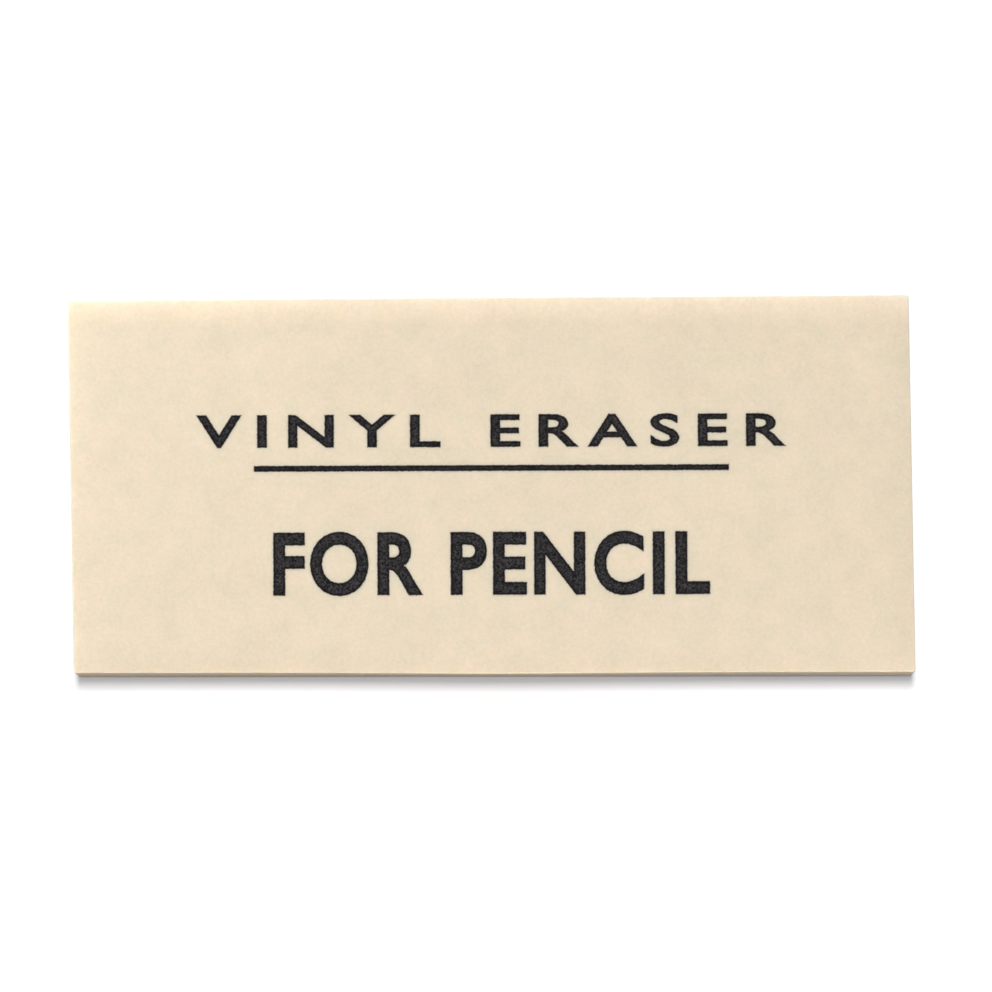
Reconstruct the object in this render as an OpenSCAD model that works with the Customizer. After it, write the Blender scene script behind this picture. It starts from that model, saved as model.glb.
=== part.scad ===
// A block eraser of soft vinyl, printed in black on its upper face.
// The block is one solid piece, cut from a thick slab, with its edges and
// corners softened by tumbling. It was cut a little out of square: both ends
// lean the same way, and the right end is a little wider than the left.
// It lies on its underside, with X along the block, Y across it and Z up.
// The origin is the centre of the underside, and all sizes are millimetres.

/* [Block] */
// Length of the block, between its two cut ends
block_length = 57; // [45:0.5:80]
// Width of the block, halfway along it
block_width = 25.4; // [20:0.1:40]
// Thickness of the block, from the underside to the printed face
block_thickness = 11; // [6:0.5:20]
// How much wider the right end is than the left
width_gain = 0.36; // [0:0.02:2]
// Angle by which both ends lean from square to the length
end_lean = 0.8; // [0:0.1:4]

/* [Softened edges] */
// Radius of the edges round both broad faces
edge_radius = 0.15; // [0.05:0.05:1.5]
// How much larger the radius of the four upright corners is
corner_extra = 0.1; // [0.05:0.05:2]
// Height that each broad face loses towards its edges
face_drop = 0.08; // [0.02:0.01:0.4]
// Width of the shoulder inside each edge, over which the face loses it
shoulder = 1.8; // [0.5:0.1:4]

/* [Print] */
// Thickness of the ink film that stands on the face
ink_film = 0.05; // [0.02:0.01:0.2]
// Radius that the ink gives to the corners of its fields
ink_corner = 0.08; // [0.02:0.01:0.15]

/* [Rule] */
// Distance from each end of the block to the end of the printed rule
rule_margin = 12.4; // [4:0.1:18]
// Width of the printed rule
rule_width = 0.42; // [0.4:0.01:1.5]
// Distance of the rule's middle line behind the middle of the block
rule_offset = 1.15; // [-2:0.05:2]

/* [Upper line] */
// Letter fields in the first word of the upper line
upper_first_word = 5; // [1:1:9]
// Letter fields in the second word of the upper line
upper_second_word = 6; // [1:1:9]
// Distance from each end of the block to the upper line
upper_margin = 8.5; // [4:0.1:14]
// Height of the upper line's letter fields
upper_height = 2.3; // [1:0.05:3]
// Free space between two letter fields of the upper line
upper_space = 1.1; // [0.3:0.05:1.3]
// Free space between the rule and the upper line
upper_gap = 1.2; // [0.5:0.05:2]

/* [Lower line] */
// Letter fields in the first word of the lower line
lower_first_word = 3; // [1:1:9]
// Letter fields in the second word of the lower line
lower_second_word = 6; // [1:1:9]
// Distance from each end of the block to the lower line
lower_margin = 13.7; // [4:0.1:16]
// Height of the lower line's letter fields
lower_height = 4.4; // [2:0.05:5]
// Free space between two letter fields of the lower line
lower_space = 0.55; // [0.2:0.05:0.6]
// Free space between the rule and the lower line
lower_gap = 4; // [1:0.05:4.5]

/* [Hidden] */
$fn = 48;
vinyl_colour = [0.92, 0.86, 0.76];
ink_colour = [0.17, 0.17, 0.18];
// Steps of each quarter round, and of each shoulder
round_steps = 6;
shoulder_steps = 4;
// Corners of the block seen from above, round from the left end's front corner.
// The ends are straight lines that cross the middle line at half the length.
outline = [
    for (corner = [[-1, -1], [1, -1], [1, 1], [-1, 1]])
        let (y = corner[1] * (block_width / 2 + corner[0] * width_gain / 4))
            [corner[0] * block_length / 2 - y * tan(end_lean), y]
];
// The block's section from the flat of the underside to the upright side, as
// pairs of a distance inside the outline and a height: over the shoulder first,
// then round the edge
lower_section = [
    for (step = [0 : shoulder_steps - 1])
        let (part = step / shoulder_steps)
            [edge_radius + shoulder * (1 - part), face_drop * part ^ 2],
    for (step = [0 : round_steps])
        let (turn = 90 * step / round_steps)
            [edge_radius * (1 - sin(turn)), face_drop + edge_radius * (1 - cos(turn))]
];
// The same way back to the flat of the upper face
upper_section = [
    for (place = [len(lower_section) - 1 : -1 : 0])
        [lower_section[place][0], block_thickness - lower_section[place][1]]
];
// Lowest places of the two lines of print, across the block
upper_base = rule_offset + rule_width / 2 + upper_gap;
lower_base = rule_offset - rule_width / 2 - lower_gap - lower_height;

// Direction of the side of the outline that starts at a corner
function side_angle(corner) =
    let (side = outline[(corner + 1) % 4] - outline[corner % 4])
        atan2(side[1], side[0]);

// The way into the block, square to that side
function inward(corner) = [-sin(side_angle(corner)), cos(side_angle(corner))];

// The point that lies a distance inside both of the sides that meet at a corner
function inside(corner, distance) =
    let (before = inward(corner + 3), after = inward(corner))
        outline[corner] + distance * (before + after) / (1 + before * after);

// One ring of the block's skin: the outline drawn in by a distance, at one
// height, with each corner as an arc that turns from one side to the next
function block_ring(distance, height) =
    let (radius = max(edge_radius - distance, 0) + corner_extra)
        [
            for (corner = [0:3])
                let (centre = inside(corner, distance + radius))
                let (start = side_angle(corner + 3))
                let (turn = (side_angle(corner) - start + 360) % 360)
                    for (step = [0 : round_steps])
                        let (angle = start - 90 + turn * step / round_steps)
                            [centre[0] + radius * cos(angle), centre[1] + radius * sin(angle), height]
        ];

// The solid block: one skin over rings that follow the section, closed by the
// flats of both broad faces
module eraser_block() {
    rings = [for (level = concat(lower_section, upper_section)) block_ring(level[0], level[1])];
    count = len(rings[0]);
    last = len(rings) - 1;
    color(vinyl_colour)
        polyhedron(
            points = [for (ring = rings) each ring],
            faces = [
                [for (place = [0 : count - 1]) place],
                [for (place = [count - 1 : -1 : 0]) last * count + place],
                for (level = [0 : last - 1], place = [0 : count - 1])
                    let (here = level * count + place, next = level * count + (place + 1) % count)
                        [here, here + count, next + count, next]
            ]
        );
}

// One field of ink about the origin, with its four corners rounded
module ink_field(length, height) {
    square([length, height - 2 * ink_corner], center = true);
    square([length - 2 * ink_corner, height], center = true);
    for (side_x = [-1, 1], side_y = [-1, 1])
        translate([side_x * (length / 2 - ink_corner), side_y * (height / 2 - ink_corner)])
            circle(ink_corner);
}

// One line of print between its margins: two words of equal letter fields, with
// one place left free between them. Base is the line's lowest place.
module print_line(first_word, second_word, margin, height, space, base) {
    places = first_word + 1 + second_word;
    pitch = (block_length - 2 * margin + space) / places;
    field = pitch - space;
    for (place = [0 : places - 1])
        if (place != first_word)
            translate([margin + place * pitch + field / 2 - block_length / 2, base + height / 2])
                ink_field(field, height);
}

// The ink: a thin film on the upper face, with a rule between two lines of
// fields. Each field is the place of one letter.
module printed_marks() {
    color(ink_colour)
        translate([0, 0, block_thickness])
            linear_extrude(ink_film) {
                print_line(upper_first_word, upper_second_word, upper_margin, upper_height, upper_space, upper_base);
                translate([0, rule_offset])
                    ink_field(block_length - 2 * rule_margin, rule_width);
                print_line(lower_first_word, lower_second_word, lower_margin, lower_height, lower_space, lower_base);
            }
}

eraser_block();
printed_marks();
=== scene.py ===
import math

import bpy
from mathutils import Matrix, Vector


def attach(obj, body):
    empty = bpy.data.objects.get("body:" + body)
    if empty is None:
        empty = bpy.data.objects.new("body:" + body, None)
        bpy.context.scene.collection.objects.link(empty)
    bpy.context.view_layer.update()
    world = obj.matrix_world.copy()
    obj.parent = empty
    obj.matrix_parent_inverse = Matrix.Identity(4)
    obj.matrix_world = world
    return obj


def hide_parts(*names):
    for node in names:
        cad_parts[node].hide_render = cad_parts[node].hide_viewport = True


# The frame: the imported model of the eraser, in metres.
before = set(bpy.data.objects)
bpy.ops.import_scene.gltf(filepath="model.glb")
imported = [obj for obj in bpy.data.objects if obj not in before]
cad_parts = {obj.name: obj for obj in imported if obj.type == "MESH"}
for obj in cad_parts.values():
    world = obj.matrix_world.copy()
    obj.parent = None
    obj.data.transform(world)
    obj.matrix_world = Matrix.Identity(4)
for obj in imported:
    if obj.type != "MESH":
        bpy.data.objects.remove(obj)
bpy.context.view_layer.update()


# The block: one solid piece of soft vinyl filled with chalk, cut from a thick slab with a knife.
# Tumbling took the sharpness off its edges and left a low shoulder all round both broad faces.
# It was cut a little out of square, so both ends lean and the right end is the wider one.
MM = 0.001
block_length = 57 * MM
block_width = 25.4 * MM
block_thickness = 11 * MM
width_gain = 0.3 * MM
end_lean = math.radians(0.8)
edge_radius = 0.1 * MM
corner_radius = 0.17 * MM
face_drop = 0.12 * MM
shoulder = 1.8 * MM
front_bulge = 0.095 * MM
front_bulge_reach = 10 * MM
waviness = 0.02 * MM
edge_wear = 0.05 * MM
block_seed = 11
# Sizes of the slow waves, of the ripples on them and of the small dents along the edges
wave_size = 9 * MM
ripple_size = 1.6 * MM
dent_size = 1.1 * MM
# Steps of the skin from its middle to one side: over the flat, the shoulder and the round
long_steps = (52, 12, 8)
wide_steps = (21, 12, 8)
high_steps = (10, 3, 6)


class Wire:
    """One output of a node, in a material or in a shape. Arithmetic on it adds Math nodes, and
    node() adds any other node: its settings first, then the values or wires of its inputs."""

    def __init__(self, tree, socket=None):
        self.tree = tree
        self.socket = socket

    def node(self, kind, settings=None, inputs=None, output=0):
        made = self.tree.nodes.new(kind)
        for name, value in (settings or {}).items():
            setattr(made, name, value)
        for name, value in (inputs or {}).items():
            if isinstance(value, Wire):
                self.tree.links.new(value.socket, made.inputs[name])
            else:
                made.inputs[name].default_value = value
        return Wire(self.tree, made.outputs[output])

    def other(self, output):
        """Another output of the same node."""
        return Wire(self.tree, self.socket.node.outputs[output])

    def math(self, operation, *values):
        return self.node("ShaderNodeMath", {"operation": operation}, dict(enumerate(values)))

    def __add__(self, other):
        return self.math("ADD", self, other)

    def __sub__(self, other):
        return self.math("SUBTRACT", self, other)

    def __rsub__(self, other):
        return self.math("SUBTRACT", other, self)

    def __mul__(self, other):
        return self.math("MULTIPLY", self, other)

    def __truediv__(self, other):
        return self.math("DIVIDE", self, other)

    def __pow__(self, other):
        return self.math("POWER", self, other)

    def __abs__(self):
        return self.math("ABSOLUTE", self)

    def __neg__(self):
        return self.math("MULTIPLY", self, -1)

    __radd__ = __add__
    __rmul__ = __mul__

    def exponential(self):
        return self.math("EXPONENT", self)

    def lower_of(self, other):
        return self.math("MINIMUM", self, other)

    def higher_of(self, other):
        return self.math("MAXIMUM", self, other)

    def between(self, start, end, low=0.0, high=1.0):
        """The value from start to end laid out from low to high, and held there beyond them."""
        places = {"Value": self, "From Min": start, "From Max": end, "To Min": low, "To Max": high}
        return self.node("ShaderNodeMapRange", {}, places)

    def noise(self, size, detail, roughness, seed=None):
        """Cloudy noise from 0 to 1 at this place, with features of that size."""
        settings = {"noise_dimensions": "3D" if seed is None else "4D"}
        inputs = {"Vector": self, "Scale": 1 / size, "Detail": detail, "Roughness": roughness}
        if seed is not None:
            inputs["W"] = seed
        return self.node("ShaderNodeTexNoise", settings, inputs)

    def blend(self, low, high):
        """The colour that goes from low to high while this value goes from 0 to 1."""
        return self.node("ShaderNodeMix", {"data_type": "RGBA"}, {0: self, 6: low, 7: high}, output=2)

    def axis(self, number):
        """One of the three numbers of this vector."""
        return self.node("ShaderNodeSeparateXYZ", {}, {"Vector": self}, output=number)

    def vector(self, operation, other):
        return self.node("ShaderNodeVectorMath", {"operation": operation}, {0: self, 1: other})

    def scaled(self, factor):
        return self.node("ShaderNodeVectorMath", {"operation": "SCALE"}, {0: self, "Scale": factor})

    def stored(self, name, value):
        """This geometry, with a value kept on its points under a name."""
        settings = {"data_type": "FLOAT", "domain": "POINT"}
        inputs = {"Geometry": self, "Name": name, "Value": value}
        return self.node("GeometryNodeStoreNamedAttribute", settings, inputs)

    def attribute(self, name):
        """The value that the shape keeps under a name, read in its material."""
        return self.node("ShaderNodeAttribute", {"attribute_name": name}, output="Fac")


def start_shape(name, sizes):
    """An empty Geometry Nodes tree with a geometry, a material and named sizes as its inputs.
    Gives the tree, the wires of its inputs by name and the identifiers of their sockets."""
    tree = bpy.data.node_groups.new(name, "GeometryNodeTree")
    kinds = {"Geometry": "NodeSocketGeometry", "Material": "NodeSocketMaterial",
             "Seed": "NodeSocketInt", "Under": "NodeSocketObject"}
    identifiers = {}
    for title in ["Geometry", "Material", "Seed", *sizes]:
        kind = kinds.get(title, "NodeSocketFloat")
        made = tree.interface.new_socket(title, in_out="INPUT", socket_type=kind)
        identifiers[title] = made.identifier
    tree.interface.new_socket("Geometry", in_out="OUTPUT", socket_type="NodeSocketGeometry")
    entry = tree.nodes.new("NodeGroupInput")
    return tree, {title: Wire(tree, entry.outputs[title]) for title in identifiers}, identifiers


def end_shape(wire, material):
    """Ends a tree in Realize Instances and Set Material."""
    real = wire.node("GeometryNodeRealizeInstances", {}, {"Geometry": wire})
    dressed = real.node("GeometryNodeSetMaterial", {}, {"Geometry": real, "Material": material})
    leave = wire.tree.nodes.new("NodeGroupOutput")
    wire.tree.links.new(dressed.socket, leave.inputs["Geometry"])


def grow(name, tree, identifiers, values, mesh=None):
    """Runs a tree on a mesh and keeps the result as a plain mesh, on an object without modifiers."""
    start = bpy.data.objects.new(name, mesh or bpy.data.meshes.new(name + "_start"))
    bpy.context.scene.collection.objects.link(start)
    modifier = start.modifiers.new(name, "NODES")
    modifier.node_group = tree
    for title, value in values.items():
        modifier[identifiers[title]] = value
    grown = start.evaluated_get(bpy.context.evaluated_depsgraph_get())
    result = bpy.data.meshes.new_from_object(grown)
    start.modifiers.remove(modifier)
    start.data = result
    result.name = name
    return start


def spread(share, half, steps, shoulder_reach, round_reach):
    """Lays a place of the even grid, from -0.5 to 0.5, out along one side of the block: wide
    steps over the flat, closer ones over the shoulder, and the closest ones round the edge."""
    first = steps[0] / sum(steps)
    second = (steps[0] + steps[1]) / sum(steps)
    along = abs(share) * 2
    flat = half - (shoulder_reach + round_reach)
    place = along.between(0.0, first, 0.0, flat)
    place = place + along.between(first, second, 0.0, shoulder_reach)
    place = place + along.between(second, 1.0, 0.0, round_reach)
    return share.math("SIGN", share) * place


def block_shape():
    """The tree of the block: an even grid on a cube, laid out on the block's box, with shoulders,
    rounded edges and corners, and the small unevenness of a cut and tumbled piece."""
    sizes = ["Length", "Width", "Thickness", "Edge radius", "Corner radius", "Shoulder", "Face drop",
             "Width gain", "End lean", "Front bulge", "Bulge reach", "Waviness", "Edge wear"]
    tree, inputs, identifiers = start_shape("block_shape", sizes)
    start = Wire(tree)
    length, width, thickness = (inputs[title] for title in sizes[:3])
    edge, corner = inputs["Edge radius"], inputs["Corner radius"]
    drop, reach = inputs["Face drop"], inputs["Shoulder"]
    counts = [2 * sum(steps) + 1 for steps in (long_steps, wide_steps, high_steps)]
    cube = start.node("GeometryNodeMeshCube", {}, {
        "Size": (1, 1, 1), "Vertices X": counts[0], "Vertices Y": counts[1], "Vertices Z": counts[2]})
    place = start.node("GeometryNodeInputPosition")
    share_x, share_y, share_z = (place.axis(number) for number in range(3))
    half_x, half_y, half_z = length / 2, width / 2, thickness / 2
    beyond_corner = edge + reach - corner
    box_x = spread(share_x, half_x, long_steps, beyond_corner, corner)
    box_y = spread(share_y, half_y, wide_steps, beyond_corner, corner)
    box_z = spread(share_z, half_z, high_steps, reach / 2, edge + drop)
    # How far a place is onto the shoulders, 0 on the flat and 1 at the edges
    onto_x = abs(box_x).between(half_x - edge - reach, half_x - edge)
    onto_y = abs(box_y).between(half_y - edge - reach, half_y - edge)
    onto = onto_x ** 2 + onto_y ** 2 - (onto_x * onto_y) ** 2
    fallen = drop * onto
    height = abs(box_z) * (half_z - fallen) / half_z
    # The way out from the inside of the upright corners, and how far along it a place lies
    way_x = box_x - box_x.higher_of(corner - half_x).lower_of(half_x - corner)
    way_y = box_y - box_y.higher_of(corner - half_y).lower_of(half_y - corner)
    out = abs(way_x).higher_of(abs(way_y))
    straight = (way_x ** 2 + way_y ** 2) ** 0.5
    # The quarter round of the edge, from the same two distances
    over = (out - (corner - edge)).higher_of(0.0)
    up = (height - (half_z - drop - edge)).higher_of(0.0)
    slant = (over ** 2 + up.lower_of(edge) ** 2) ** 0.5
    kept = edge / slant.higher_of(edge)
    new_out = (out - over * (1 - kept)) / straight.higher_of(1e-9)
    plan_x = box_x - way_x + way_x * new_out
    plan_y = box_y - way_y + way_y * new_out
    upright = box_z.math("SIGN", box_z) * (height - up * (1 - kept))
    # Out of square: a wider right end, leaning ends and a slight bulge of the front side, which
    # grows from the foot to the head
    skew_y = plan_y * (1 + plan_x * inputs["Width gain"] / (length * width))
    skew_x = plan_x - skew_y * inputs["End lean"]
    bell = (-((plan_x / inputs["Bulge reach"]) ** 2)).exponential()
    in_front = (-plan_y / half_y).between(0.0, 1.0)
    in_front = in_front ** 2 * upright.between(-half_z, half_z)
    skew_y = skew_y - inputs["Front bulge"] * bell * in_front
    there = start.node("ShaderNodeCombineXYZ", {}, {"X": skew_x, "Y": skew_y, "Z": upright + half_z})
    # How far a place is onto the shoulders, and onto the round of an edge, where the middle of
    # the round is 1, is kept with the mesh for the vinyl
    rounded = (1 - kept) / (1 - math.sqrt(0.5))
    marked = cube
    marks = {"end_shoulder": onto_x ** 2, "side_shoulder": onto_y ** 2, "edge": rounded}
    for name, value in marks.items():
        marked = marked.stored(name, value)
    edged = marked.node("GeometryNodeSetPosition", {}, {"Geometry": marked, "Position": there})
    # Slow waves all over, and small dents along the edges, both cut inwards only
    seed = inputs["Seed"]
    waves = place.noise(wave_size, 2, 0.5, seed)
    ripples = place.noise(ripple_size, 2, 0.5, seed + 5)
    dents = place.noise(dent_size, 2, 0.6, seed + 9).between(0.52, 0.78)
    on_edge = place.node("GeometryNodeInputNamedAttribute", {"data_type": "FLOAT"}, {"Name": "edge"})
    inward = inputs["Waviness"] * (waves * 0.8 + ripples * 0.2) + inputs["Edge wear"] * dents * on_edge
    facing = place.node("GeometryNodeInputNormal")
    shift = facing.scaled(-inward)
    worn = edged.node("GeometryNodeSetPosition", {}, {"Geometry": edged, "Offset": shift})
    smooth = worn.node("GeometryNodeSetShadeSmooth", {}, {"Geometry": worn})
    end_shape(smooth, inputs["Material"])
    return tree, identifiers


# The vinyl's colours: two tints of cream in soft clouds, a warmer one inside the back edge,
# which is a painted glow of the light from behind, and a pale one for wear and painted light
cream_tints = ((0.762, 0.677, 0.502, 1), (0.787, 0.665, 0.509, 1))
painted_back_glow_cream = (0.853, 0.701, 0.506, 1)
pale_wear_and_light_cream = (0.90, 0.86, 0.76, 1)
# How pale the shoulders are made: the back side's is painted light from behind, the ends' is
# wear, and the edges' is partly wear and partly a painted highlight
painted_back_light = 0.352
end_scuff = 0.088
edge_wear_and_highlight = 0.22
scuff_size = 0.8 * MM
# Sizes of the clouds and of the grain, and how much each of them shades the colour
cloud_size = 3 * MM
tint_size = 1.5 * MM
grain_size = 0.25 * MM
fine_size = 0.09 * MM
cloud_shade = 0.27
grain_shade = 0.20
fine_shade = 0.07
# Heights of the relief: the grain all over, and the drag lines of the knife on the cut sides,
# which are fine along the side and long up it
grain_height = 0.010 * MM
fine_height = 0.004 * MM
drag_height = 0.035 * MM
drag_width = 0.35 * MM
drag_stretch = 0.04


def vinyl():
    """Cream vinyl, matt and a little see-through at the edges: fine chalky grain, faint cloudy
    changes of tint, ends paler from wear, edges paler partly from wear and partly as a painted
    highlight, a paler, warmer back shoulder that is painted light from behind and, on the cut
    sides, the drag lines of the knife."""
    material = bpy.data.materials.new("cream_vinyl")
    material.use_nodes = True
    tree = material.node_tree
    shader = tree.nodes["Principled BSDF"]
    place = Wire(tree).node("ShaderNodeTexCoord", output="Object")
    clouds = place.noise(cloud_size, 5, 0.9)
    tint = place.noise(tint_size, 4, 0.8)
    grain = place.noise(grain_size, 3, 0.7)
    fine = place.noise(fine_size, 1, 0.5)
    cream = tint.between(0.3, 0.7).blend(*cream_tints)
    shade = 1 + (clouds - 0.5) * cloud_shade + (grain - 0.5) * grain_shade + (fine - 0.5) * fine_shade
    on_sides = place.attribute("side_shoulder")
    on_ends = place.attribute("end_shoulder")
    on_edge = place.attribute("edge")
    behind = place.axis(1).between(-1 * MM, 1 * MM)
    # Painted light: a warmer band inside the back edge, where the light from behind glows in the vinyl
    with_back_glow = (on_sides ** 0.5 * behind).blend(cream, painted_back_glow_cream)
    patchy = place.noise(scuff_size, 3, 0.6).between(0.3, 0.7, 0.6, 1.4)
    # Painted light and wear: the back shoulder is painted paler where the light from behind falls, the
    # ends are paler from wear, and the edges partly from wear and partly as a painted highlight
    wear_and_painted_light = (on_sides * behind * painted_back_light + on_ends * end_scuff + on_edge * edge_wear_and_highlight) * patchy
    pale = wear_and_painted_light.blend(with_back_glow, pale_wear_and_light_cream)
    tree.links.new(pale.scaled(shade).socket, shader.inputs["Base Color"])
    tree.links.new((0.46 + grain * 0.12).socket, shader.inputs["Roughness"])
    facing = place.node("ShaderNodeNewGeometry", output="Normal")
    cut_sides = 1 - abs(facing.axis(2)).between(0.15, 0.5)
    lines = place.vector("MULTIPLY", (1, 1, drag_stretch)).noise(drag_width, 3, 0.6)
    relief = grain * grain_height + fine * fine_height + lines * cut_sides * drag_height
    bump = relief.node("ShaderNodeBump", {}, {"Strength": 1.0, "Distance": 1.0, "Height": relief})
    tree.links.new(bump.socket, shader.inputs["Normal"])
    shader.inputs["Subsurface Weight"].default_value = 1.0
    shader.inputs["Subsurface Radius"].default_value = (1.0, 0.8, 0.6)
    shader.inputs["Subsurface Scale"].default_value = 0.45 * MM
    shader.inputs["Specular IOR Level"].default_value = 0.5
    return material


tree, identifiers = block_shape()
block = grow("vinyl_block", tree, identifiers, {
    "Material": vinyl(), "Seed": block_seed, "Length": block_length, "Width": block_width,
    "Thickness": block_thickness, "Edge radius": edge_radius, "Corner radius": corner_radius,
    "Shoulder": shoulder, "Face drop": face_drop, "Width gain": width_gain,
    "End lean": math.tan(end_lean), "Front bulge": front_bulge, "Bulge reach": front_bulge_reach,
    "Waviness": waviness, "Edge wear": edge_wear})
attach(block, "root")
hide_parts("eraser_block")


# The print: a thin film of black ink, stamped on the upper face with a soft pad. Its words only
# say what the piece is made of and what it is for, in plain letters, with a rule between them.
ink_film = 0.012 * MM
ink_sunk = 0.03 * MM
ink_seed = 4
rule_length = 32.2 * MM
rule_width = 0.42 * MM
rule_middle = 1.15 * MM
# Both lines: width, lowest place and height of the capitals, space between the letters as a
# share of the usual one, and how far the strokes are spread
upper_width = 40 * MM
upper_foot = 2.56 * MM
upper_height = 2.3 * MM
upper_spacing = 1.42
upper_weight = 0.08 * MM
lower_width = 29.6 * MM
lower_foot = -7.46 * MM
lower_height = 4.4 * MM
lower_spacing = 1.12
lower_weight = 0.20 * MM
# Height of the capitals as a share of the letters' size
capital_share = 0.7
# The rims: length of their steps, how far they are ragged, and the size of that raggedness
rim_step = 0.06 * MM
rim_ragged = 0.11 * MM
rag_size = 0.16 * MM
# Distances at which points of the flat letters, and of the finished film, are made one
flat_merge = 0.002 * MM
film_merge = 0.0005 * MM
# The ray that finds the face under the film: its start above the desk, and its length
ray_start = 20 * MM
ray_length = 30 * MM


def word_line(words, width, foot, height, spacing, weight):
    """The flat letters of one line of print, as wide as the line and as high as its capitals.
    Weight is how far the strokes are spread beyond the plain letters'."""
    letters = bpy.data.curves.new(words, "FONT")
    letters.body = words
    letters.size = (height - 2 * weight) / capital_share
    letters.offset = weight
    letters.space_character = spacing
    letters.resolution_u = 6
    piece = bpy.data.objects.new(words, letters)
    bpy.context.scene.collection.objects.link(piece)
    flat = bpy.data.meshes.new_from_object(piece.evaluated_get(bpy.context.evaluated_depsgraph_get()))
    bpy.data.objects.remove(piece)
    left = min(v.co.x for v in flat.vertices)
    right = max(v.co.x for v in flat.vertices)
    stretch = width / (right - left)
    placed = Matrix.Translation((-width / 2, foot + weight, 0)) @ Matrix.Diagonal((stretch, 1, 1, 1))
    flat.transform(placed @ Matrix.Translation((-left, 0, 0)))
    return flat


def print_outlines():
    """All that is printed, as one flat mesh: two lines of letters and the rule between them."""
    flats = [
        word_line("VINYL ERASER", upper_width, upper_foot, upper_height, upper_spacing, upper_weight),
        word_line("FOR PENCIL", lower_width, lower_foot, lower_height, lower_spacing, lower_weight),
    ]
    points, faces = [], []
    for flat in flats:
        first = len(points)
        points += [v.co.copy() for v in flat.vertices]
        faces += [[first + i for i in face.vertices] for face in flat.polygons]
    first = len(points)
    for side_x, side_y in ((-1, -1), (1, -1), (1, 1), (-1, 1)):
        points.append(Vector((side_x * rule_length / 2, rule_middle + side_y * rule_width / 2, 0)))
    faces.append([first, first + 1, first + 2, first + 3])
    mesh = bpy.data.meshes.new("print_outlines")
    mesh.from_pydata(points, [], faces)
    return mesh


def ink_shape():
    """The tree of the ink film: the rims of the flat letters, walked in short steps and made a
    little ragged, filled again and given the film's thickness."""
    tree, inputs, identifiers = start_shape("ink_shape", ["Under", "Step", "Ragged", "Film", "Sunk"])
    flat = inputs["Geometry"]
    joined = flat.node("GeometryNodeMergeByDistance", {}, {"Geometry": flat, "Distance": flat_merge})
    faces_at = joined.node("GeometryNodeInputMeshEdgeNeighbors")
    at_rim = faces_at.node("FunctionNodeCompare", {"data_type": "INT", "operation": "EQUAL"}, {
        2: faces_at, 3: 1})
    rims = joined.node("GeometryNodeMeshToCurve", {}, {"Mesh": joined, "Selection": at_rim})
    walked = rims.node("GeometryNodeResampleCurve", {"mode": "LENGTH"}, {
        "Curve": rims, "Length": inputs["Step"]})
    place = walked.node("GeometryNodeInputPosition")
    slow = place.noise(rag_size, 2, 0.5, inputs["Seed"]).other("Color")
    level = slow.vector("SUBTRACT", (0.5, 0.5, 0.5)).vector("MULTIPLY", (1, 1, 0))
    ragged = level.scaled(inputs["Ragged"])
    rough = walked.node("GeometryNodeSetPosition", {}, {"Geometry": walked, "Offset": ragged})
    filled = rough.node("GeometryNodeFillCurve", {"mode": "TRIANGLES"}, {"Curve": rough})
    parted = filled.node("GeometryNodeSubdivideMesh", {}, {"Mesh": filled, "Level": 1})
    # How far a point is from the rim is kept with the mesh for the ink
    line = rough.node("GeometryNodeCurveToMesh", {}, {"Curve": rough})
    near = line.node("GeometryNodeProximity", {"target_element": "EDGES"}, {0: line}, output="Distance")
    marked = parted.stored("from_rim", near)
    rise = marked.node("ShaderNodeCombineXYZ", {}, {"Z": inputs["Film"] + inputs["Sunk"]})
    raised = marked.node("GeometryNodeExtrudeMesh", {"mode": "FACES"}, {
        "Mesh": marked, "Offset": rise, "Offset Scale": 1.0, "Individual": False})
    under = marked.node("GeometryNodeFlipFaces", {}, {"Mesh": marked})
    both = raised.node("GeometryNodeJoinGeometry")
    tree.links.new(under.socket, both.socket.node.inputs[0])
    tree.links.new(raised.socket, both.socket.node.inputs[0])
    closed = both.node("GeometryNodeMergeByDistance", {}, {"Geometry": both, "Distance": film_merge})
    # The film follows the face under it: a ray down to the block gives the height of each point
    vinyl_under = inputs["Under"].node("GeometryNodeObjectInfo", {}, {"Object": inputs["Under"]},
                                       output="Geometry")
    spot = vinyl_under.node("GeometryNodeInputPosition")
    above = spot.vector("ADD", (0, 0, ray_start))
    face = vinyl_under.node("GeometryNodeRaycast", {}, {
        "Target Geometry": vinyl_under, "Source Position": above, "Ray Direction": (0, 0, -1),
        "Ray Length": ray_length}, output="Hit Position")
    foot = face.node("ShaderNodeCombineXYZ", {}, {"Z": face.axis(2) - inputs["Sunk"]})
    lifted = closed.node("GeometryNodeSetPosition", {}, {"Geometry": closed, "Offset": foot})
    end_shape(lifted, inputs["Material"])
    return tree, identifiers


# The ink's colours: black where it is thick and dark grey where the grain shows through it, and
# brown at the very rim, where it is too thin to cover the vinyl
ink_blacks = ((0.003, 0.003, 0.004, 1), (0.070, 0.064, 0.066, 1))
thin_ink = (0.42, 0.35, 0.27, 1)
speck_size = 0.13 * MM
patch_size = 0.6 * MM
speck_height = 0.004 * MM
# Distances from the rim: where the thin ink ends, and where the thick ink starts and stops fading
thin_reach = 0.05 * MM
thick_reach = 0.06 * MM
thick_end = 0.2 * MM


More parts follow.
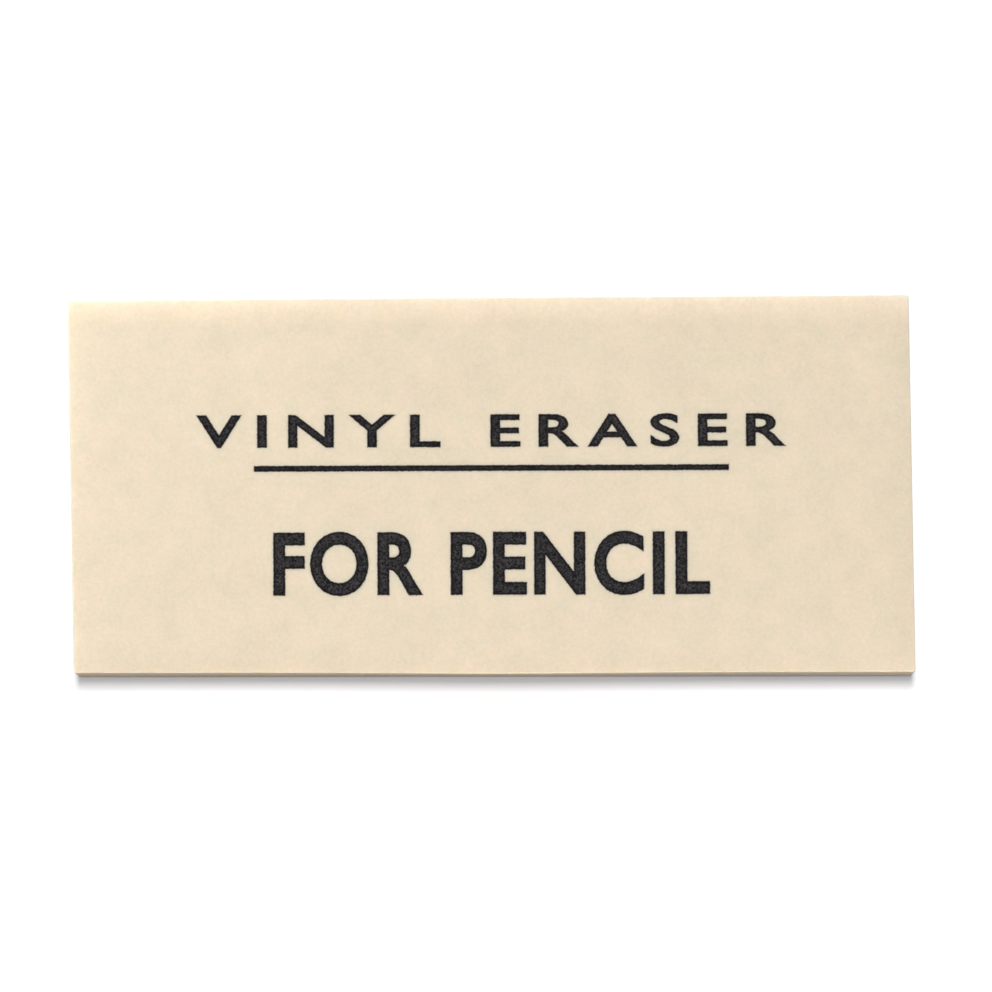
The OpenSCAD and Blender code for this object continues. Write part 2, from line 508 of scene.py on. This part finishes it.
def ink():
    """Black printing ink on grainy vinyl: matt, mottled by the grain under it, darker along the
    rims, where the pad squeezed it out thicker, and thin at the very rim."""
    material = bpy.data.materials.new("black_ink")
    material.use_nodes = True
    tree = material.node_tree
    shader = tree.nodes["Principled BSDF"]
    place = Wire(tree).node("ShaderNodeTexCoord", output="Object")
    specks = place.noise(speck_size, 2, 0.7).between(0.36, 0.66)
    patches = place.noise(patch_size, 2, 0.6).between(0.3, 0.7)
    from_rim = place.node("ShaderNodeAttribute", {"attribute_name": "from_rim"}, output="Fac")
    inside = from_rim.between(thick_reach, thick_end)
    shade = (0.12 + 0.88 * inside) * specks * (0.75 + 0.25 * patches)
    thin = from_rim.between(0.0, thin_reach, 0.75, 0.0)
    black = thin.blend(shade.blend(*ink_blacks), thin_ink)
    tree.links.new(black.socket, shader.inputs["Base Color"])
    tree.links.new((0.72 + specks * 0.15).socket, shader.inputs["Roughness"])
    relief = specks * speck_height
    bump = relief.node("ShaderNodeBump", {}, {"Strength": 1.0, "Distance": 1.0, "Height": relief})
    tree.links.new(bump.socket, shader.inputs["Normal"])
    shader.inputs["Specular IOR Level"].default_value = 0.08
    return material


tree, identifiers = ink_shape()
prints = grow("printed_film", tree, identifiers, {
    "Material": ink(), "Seed": ink_seed, "Under": block, "Step": rim_step, "Ragged": rim_ragged,
    "Film": ink_film, "Sunk": ink_sunk}, print_outlines())
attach(prints, "root")
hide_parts("printed_marks")


# The desk: a plain pale floor that the block lies on. Neither the light that the vinyl gathers
# nor its gloss sees it, so that the sides keep the colours that the lamps give them.
floor_half = 3.0
floor_corners = [(x * floor_half, y * floor_half, 0) for x, y in ((-1, -1), (1, -1), (1, 1), (-1, 1))]
floor_mesh = bpy.data.meshes.new("floor")
floor_mesh.from_pydata(floor_corners, [], [(0, 1, 2, 3)])
floor = bpy.data.objects.new("floor", floor_mesh)
bpy.context.scene.collection.objects.link(floor)
paper = bpy.data.materials.new("white_paper")
paper.use_nodes = True
white = paper.node_tree.nodes["Principled BSDF"]
white.inputs["Base Color"].default_value = (0.95, 0.95, 0.95, 1)
white.inputs["Roughness"].default_value = 1.0
white.inputs["Specular IOR Level"].default_value = 0.0
white.inputs["Emission Color"].default_value = (0.96, 0.98, 1.05, 1)
white.inputs["Emission Strength"].default_value = 0.245
floor_mesh.materials.append(paper)
floor.visible_diffuse = False
floor.visible_glossy = False


# The light: a long soft strip overhead, a little behind the block, so that only the front side
# throws a short shadow. The other lamps light the block alone: round ones at its left back
# corner, far behind it and above it, and level strips beside its front side and both ends.
key_height = 3.0
key_tilts = [math.radians(angle) for angle in (0.9, 5.3)]
key_half_breadth = math.radians(1.2)
key_share = 0.61
strip_depth = 3 * MM
strip_reach = 12 * MM
key_data = bpy.data.lights.new("key_strip", "AREA")
key_data.shape = "RECTANGLE"
key_data.size = 2 * key_height * math.tan(key_half_breadth)
key_data.size_y = key_height * (math.tan(key_tilts[1]) - math.tan(key_tilts[0]))
key_data.energy = key_share * math.pi ** 2 * key_height ** 2
key = bpy.data.objects.new("key_strip", key_data)
key.location = (0, key_height * (math.tan(key_tilts[0]) + math.tan(key_tilts[1])) / 2, key_height)
bpy.context.scene.collection.objects.link(key)
eraser_only = bpy.data.collections.new("eraser_only")
for piece in (block, prints):
    eraser_only.objects.link(piece)


def own_lamp(name, data, place):
    """Hangs a lamp that lights the eraser alone, so that it throws no shadow on the desk."""
    lamp = bpy.data.objects.new(name, data)
    lamp.location = place
    bpy.context.scene.collection.objects.link(lamp)
    lamp.light_linking.receiver_collection = eraser_only
    lamp.visible_camera = False
    return lamp


def round_lamp(name, place, share, width):
    """A round lamp. Share is its light on a face turned to it at the middle of the block's top,
    where 1 turns a white face white."""
    reach = Vector(place) - Vector((0, 0, block_thickness))
    data = bpy.data.lights.new(name, "POINT")
    data.shadow_soft_size = width / 2
    data.energy = share * 4 * math.pi ** 2 * reach.length_squared
    own_lamp(name, data, place).visible_glossy = False


def strip_lamp(name, place, way, length, share, colour):
    """A level strip beside the block that shines on one of its upright sides. Share is its light
    on that side at its own height, which gets weaker above and below."""
    data = bpy.data.lights.new(name, "AREA")
    data.shape = "RECTANGLE"
    data.size = length
    data.size_y = strip_depth
    data.energy = share * 2 * math.pi * length * strip_reach
    data.color = colour
    own_lamp(name, data, place).rotation_euler = Vector(way).to_track_quat("-Z", "Y").to_euler()


round_lamp("corner_lamp", (-55 * MM, 40 * MM, 25 * MM), 0.20, 10 * MM)
round_lamp("back_lamp", (-90 * MM, 640 * MM, 58 * MM), 0.49, 100 * MM)
round_lamp("top_lamp", (160 * MM, -60 * MM, 460 * MM), 0.095, 200 * MM)
front_way = block_width / 2 + strip_reach
end_way = block_length / 2 + strip_reach
front_strip_place = (0, -front_way, block_thickness + 1.3 * MM)
right_strip_place = (end_way, 0, block_thickness / 2)
left_strip_place = (-end_way, 0, block_thickness + 0.5 * MM)
strip_lamp("front_strip", front_strip_place, (0, 1, 0), 90 * MM, 0.58, (1, 0.905, 0.87))
strip_lamp("right_strip", right_strip_place, (-1, 0, 0), 50 * MM, 0.40, (1, 0.94, 0.9))
strip_lamp("left_strip", left_strip_place, (1, 0, 0), 50 * MM, 0.40, (1, 1, 1))
world = bpy.data.worlds.new("studio")
world.use_nodes = True
sky = world.node_tree.nodes["Background"]
sky.inputs["Color"].default_value = (1.0, 0.99, 0.985, 1)
# Seen directly the room is white, and it lights the block only from above the desk
room_light = 0.24
way = Wire(world.node_tree).node("ShaderNodeTexCoord", output="Generated")
seen = way.node("ShaderNodeLightPath", output="Is Camera Ray")
strength = way.axis(2).between(-0.05, 0.05, 0.0, room_light).higher_of(seen)
world.node_tree.links.new(strength.socket, sky.inputs["Strength"])
bpy.context.scene.world = world
bpy.context.scene.view_settings.view_transform = "Standard"


# The camera: high above the block and a little in front of it, with a long lens. It looks at a
# spot near the middle of the upper face.
camera_height = 1099 * MM + block_thickness
camera_place = Vector((3.5 * MM, -43 * MM, camera_height))
camera_roll = math.radians(-0.22)
aim = Vector((0.31 * MM, -0.75 * MM, block_thickness))
camera_data = bpy.data.cameras.new("camera")
camera_data.sensor_width = 36
camera_data.lens = 589.5
camera = bpy.data.objects.new("camera", camera_data)
camera.location = camera_place
ahead = (aim - camera_place).normalized()
across = ahead.cross(Vector((0, 1, 0))).normalized()
turn = Matrix((across, across.cross(ahead), -ahead)).transposed().to_4x4()
camera.rotation_euler = (turn @ Matrix.Rotation(camera_roll, 4, "Z")).to_euler()
bpy.context.scene.collection.objects.link(camera)
bpy.context.scene.camera = camera
